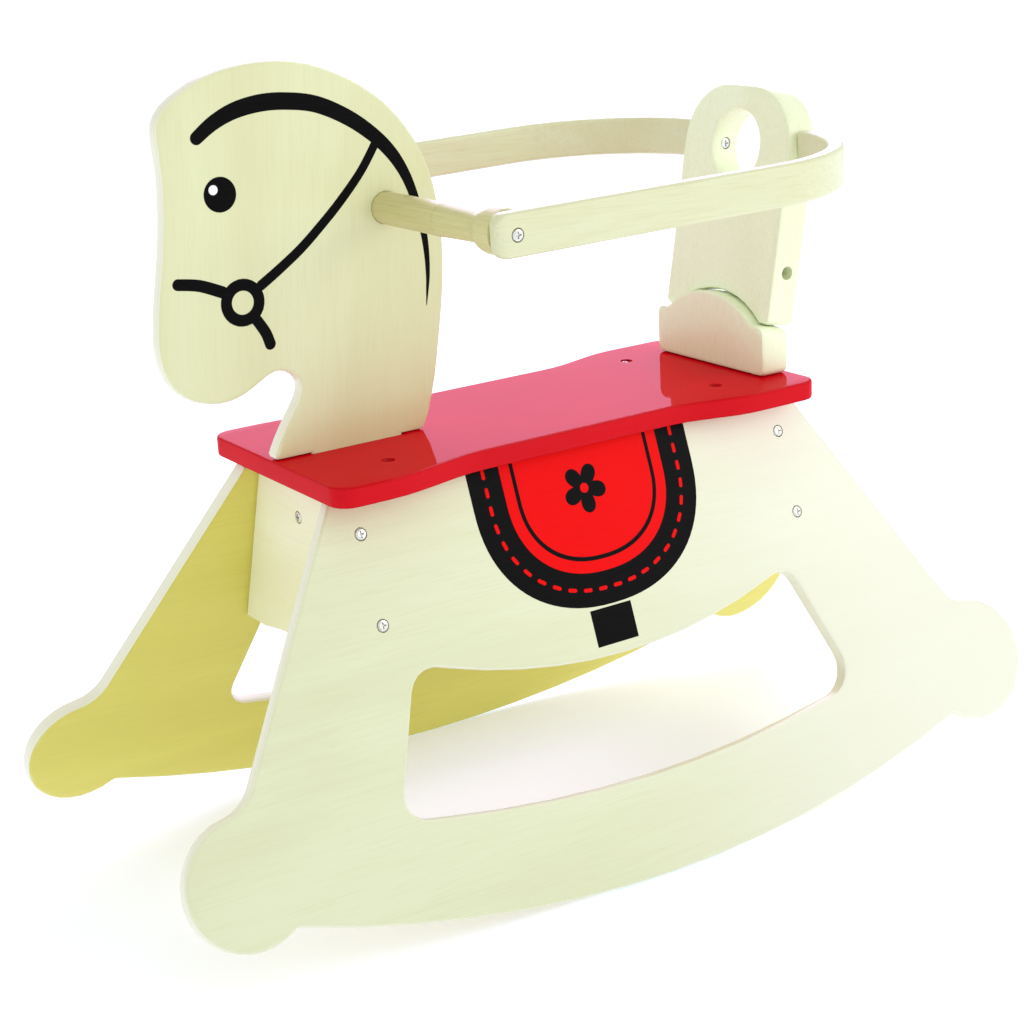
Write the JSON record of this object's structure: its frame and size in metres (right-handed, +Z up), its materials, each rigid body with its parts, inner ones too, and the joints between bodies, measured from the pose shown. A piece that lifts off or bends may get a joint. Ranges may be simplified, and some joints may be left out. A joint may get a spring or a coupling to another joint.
{
  "type": "rocking horse",
  "caption": "Wooden toddler's rocking horse: splayed rocker sides, a flat horse's head with a grab bar, a leaning backrest and a safety ring of bent rails round the rider.",
  "frame": {"origin": "bottom centre of the box round the horse at rest, on the floor", "axes": "+X towards the horse's nose, +Y towards the horse's left, +Z up"},
  "size_m": [0.7462, 0.3506, 0.5901],
  "materials": {
    "birch_ply": "clear satin lacquer over pale birch plywood",
    "bent_ply": "clear satin lacquer over bent birch plywood, long grain",
    "beech": "clear satin lacquer over pale beech, upright grain",
    "turned_beech": "clear satin lacquer over turned beech",
    "red_lacquer": "high-gloss red lacquer over plywood",
    "zinc_steel": "bright zinc plate"
  },
  "bodies": {
    "root": {"side_panel_left": "birch_ply", "side_panel_right": "birch_ply", "front_apron": "birch_ply", "rear_apron": "birch_ply", "head_panel": "birch_ply", "seat_board": "red_lacquer", "rail_left": "bent_ply", "rail_right": "bent_ply", "backrest_base": "beech", "backrest_board": "beech", "handle_dowel": "turned_beech", "handle_end_left": "turned_beech", "handle_end_right": "turned_beech", "block_peg_left": "turned_beech", "block_peg_right": "turned_beech", "panel_screw_left_front_upper": "zinc_steel", "panel_screw_left_front_lower": "zinc_steel", "panel_screw_left_rear_upper": "zinc_steel", "panel_screw_left_rear_lower": "zinc_steel", "panel_screw_right_front_upper": "zinc_steel", "panel_screw_right_front_lower": "zinc_steel", "panel_screw_right_rear_upper": "zinc_steel", "panel_screw_right_rear_lower": "zinc_steel", "apron_screw": "zinc_steel", "rail_front_screw_left": "zinc_steel", "rail_front_screw_right": "zinc_steel", "rail_rear_screw_left": "zinc_steel", "rail_rear_screw_right": "zinc_steel", "seat_screw_left_front": "zinc_steel", "seat_screw_left_rear": "zinc_steel", "seat_screw_right_front": "zinc_steel", "seat_screw_right_rear": "zinc_steel", "bolt_left": "zinc_steel", "bolt_right": "zinc_steel", "bolt_washer_left": "zinc_steel", "bolt_washer_right": "zinc_steel", "barrel_nut_left": "zinc_steel", "barrel_nut_right": "zinc_steel"}
  },
  "joints": []
}
